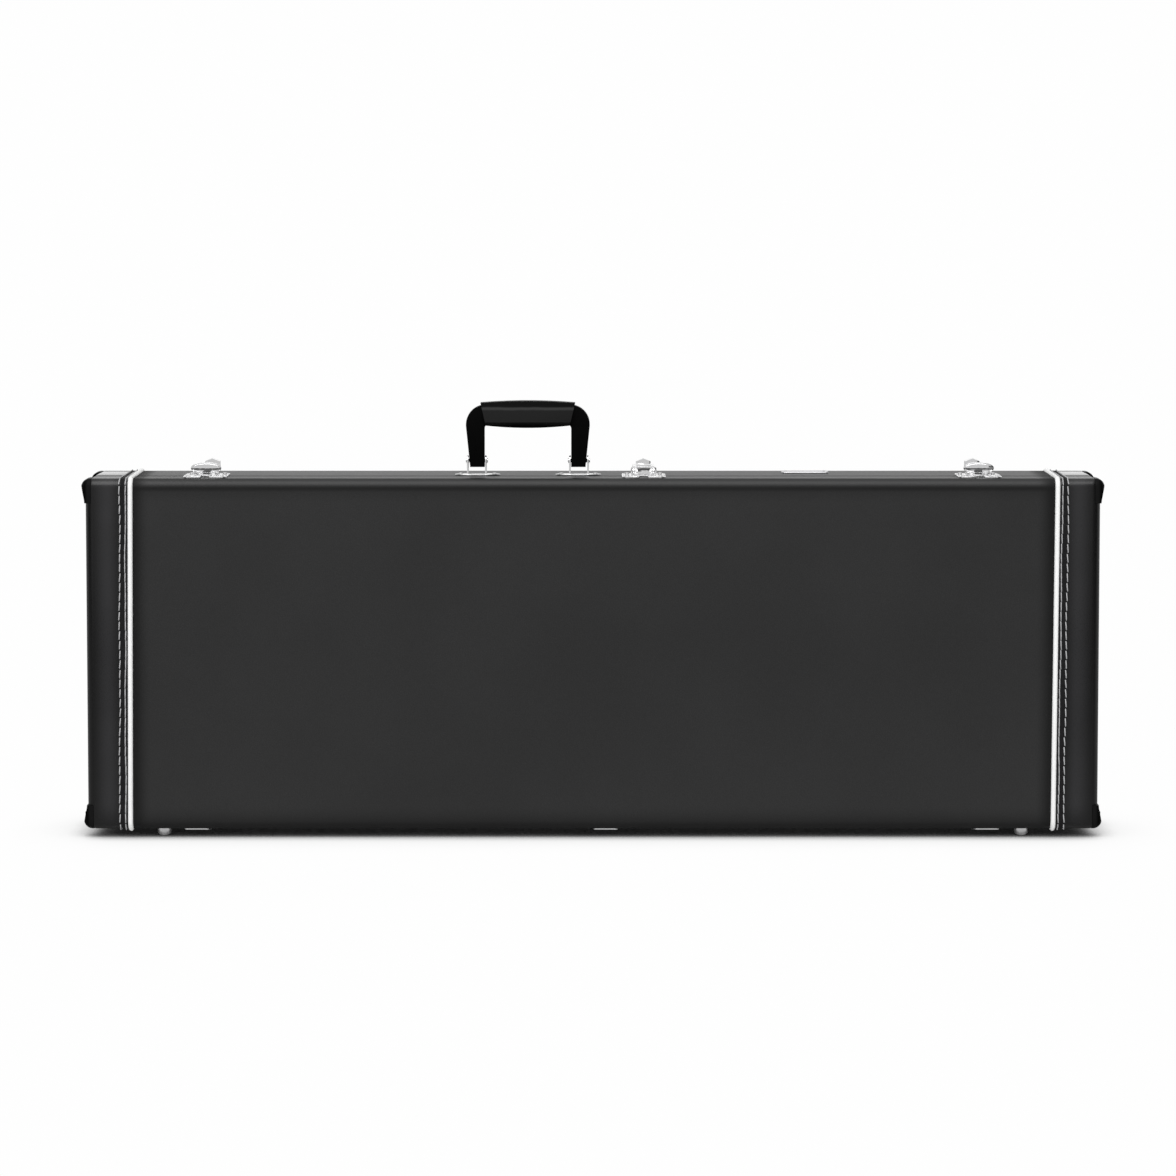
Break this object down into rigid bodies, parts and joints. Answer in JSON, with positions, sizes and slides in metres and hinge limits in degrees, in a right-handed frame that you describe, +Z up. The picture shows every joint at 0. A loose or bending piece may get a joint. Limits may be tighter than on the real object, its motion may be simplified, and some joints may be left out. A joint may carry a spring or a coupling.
{
  "type": "electric guitar case",
  "caption": "Rectangular hardshell electric guitar case with hinged lid, draw latches, folding carry handle, white piping and plush lining with accessory box.",
  "frame": {"origin": "on the floor, under the middle of the standing case", "axes": "+X along the case to the viewer's right, -Y towards the lid, +Z up to the handle"},
  "size_m": [1.0424, 0.12, 0.4447],
  "materials": {
    "plywood": "bare poplar plywood, hidden under the covering and the lining",
    "grained_vinyl": "black vinyl covering with a fine pebble grain, low sheen",
    "smooth_vinyl": "smooth black leatherette, satin",
    "white_piping": "white vinyl piping, satin",
    "guard_plastic": "black moulded plastic, glossy",
    "plush": "black short-pile plush over foam",
    "handle_plastic": "black moulded plastic, fine matt texture",
    "nameplate_metal": "blank brushed metal plate",
    "chrome": "bright chrome plate"
  },
  "bodies": {
    "case_body": {"accessory_box": "plush", "back_pad": "plush", "back_panel": "plywood", "body_bottom_wall": "plywood", "body_corner_studs": "guard_plastic", "body_corners": "guard_plastic", "body_covering": "grained_vinyl", "body_end_cap_left": "smooth_vinyl", "body_end_cap_right": "smooth_vinyl", "body_end_walls": "plywood", "body_hinge_screws": "chrome", "body_lip": "smooth_vinyl", "body_piping_left": "white_piping", "body_piping_right": "white_piping", "body_rivets": "chrome", "body_top_wall": "plywood", "handle_bracket_left": "chrome", "handle_bracket_right": "chrome", "handle_pivot_pins": "chrome", "hinge_body_leaves": "chrome", "hinge_pins": "chrome", "latch_base_centre": "chrome", "latch_base_left": "chrome", "latch_base_right": "chrome", "latch_pivot_pins": "chrome", "lower_padding": "plush", "nameplate": "nameplate_metal", "nameplate_pins": "chrome", "neck_cradle": "plush", "rear_feet": "chrome", "upper_padding": "plush"},
    "lid": {"front_feet": "chrome", "hinge_lid_leaves": "chrome", "latch_keeper_centre": "chrome", "latch_keeper_left": "chrome", "latch_keeper_right": "chrome", "lid_bottom_wall": "plywood", "lid_corner_studs": "guard_plastic", "lid_corners": "guard_plastic", "lid_covering": "grained_vinyl", "lid_end_cap_left": "smooth_vinyl", "lid_end_cap_right": "smooth_vinyl", "lid_end_walls": "plywood", "lid_hinge_screws": "chrome", "lid_pad": "plush", "lid_panel": "plywood", "lid_piping_left": "white_piping", "lid_piping_right": "white_piping", "lid_rivets": "chrome", "lid_top_wall": "plywood"},
    "handle": {"handle_grip": "handle_plastic", "handle_legs": "handle_plastic"},
    "accessory_flap": {"accessory_lid": "plush", "accessory_tab": "smooth_vinyl"},
    "lever_left": {"latch_lever_left": "chrome"},
    "loop_left": {"latch_loop_left": "chrome"},
    "lever_centre": {"latch_lever_centre": "chrome"},
    "loop_centre": {"latch_loop_centre": "chrome"},
    "lever_right": {"latch_lever_right": "chrome"},
    "loop_right": {"latch_loop_right": "chrome"}
  },
  "joints": [
    {"name": "lid_hinge", "type": "hinge", "parent": "case_body", "child": "lid", "pos_m": [0, -0.0205, 0.0047], "axis": [1, 0, 0], "range_deg": [0, 100]},
    {"name": "handle_fold", "type": "hinge", "parent": "case_body", "child": "handle", "pos_m": [-0.0668, -0.0075, 0.383], "axis": [1, 0, 0], "range_deg": [-85, 85]},
    {"name": "accessory_hinge", "type": "hinge", "parent": "case_body", "child": "accessory_flap", "pos_m": [0.151, -0.006, 0.0303], "axis": [1, 0, 0], "range_deg": [0, 95]},
    {"name": "lever_left_hinge", "type": "hinge", "parent": "case_body", "child": "lever_left", "pos_m": [-0.396, -0.0175, 0.373], "axis": [1, 0, 0], "range_deg": [0, 95]},
    {"name": "loop_left_hinge", "type": "hinge", "parent": "lever_left", "child": "loop_left", "pos_m": [-0.396, -0.009, 0.3722], "axis": [1, 0, 0], "range_deg": [-114, 0]},
    {"name": "lever_centre_hinge", "type": "hinge", "parent": "case_body", "child": "lever_centre", "pos_m": [0.052, -0.0175, 0.373], "axis": [1, 0, 0], "range_deg": [0, 95]},
    {"name": "loop_centre_hinge", "type": "hinge", "parent": "lever_centre", "child": "loop_centre", "pos_m": [0.052, -0.009, 0.3722], "axis": [1, 0, 0], "range_deg": [-114, 0]},
    {"name": "lever_right_hinge", "type": "hinge", "parent": "case_body", "child": "lever_right", "pos_m": [0.395, -0.0175, 0.373], "axis": [1, 0, 0], "range_deg": [0, 95]},
    {"name": "loop_right_hinge", "type": "hinge", "parent": "lever_right", "child": "loop_right", "pos_m": [0.395, -0.009, 0.3722], "axis": [1, 0, 0], "range_deg": [-114, 0]}
  ],
  "couplings": [
    {"joint": "accessory_hinge", "follows": "lid_hinge", "ratio": 0.95},
    {"joint": "loop_left_hinge", "follows": "lever_left_hinge", "ratio": -1.2},
    {"joint": "loop_centre_hinge", "follows": "lever_centre_hinge", "ratio": -1.2},
    {"joint": "loop_right_hinge", "follows": "lever_right_hinge", "ratio": -1.2}
  ]
}
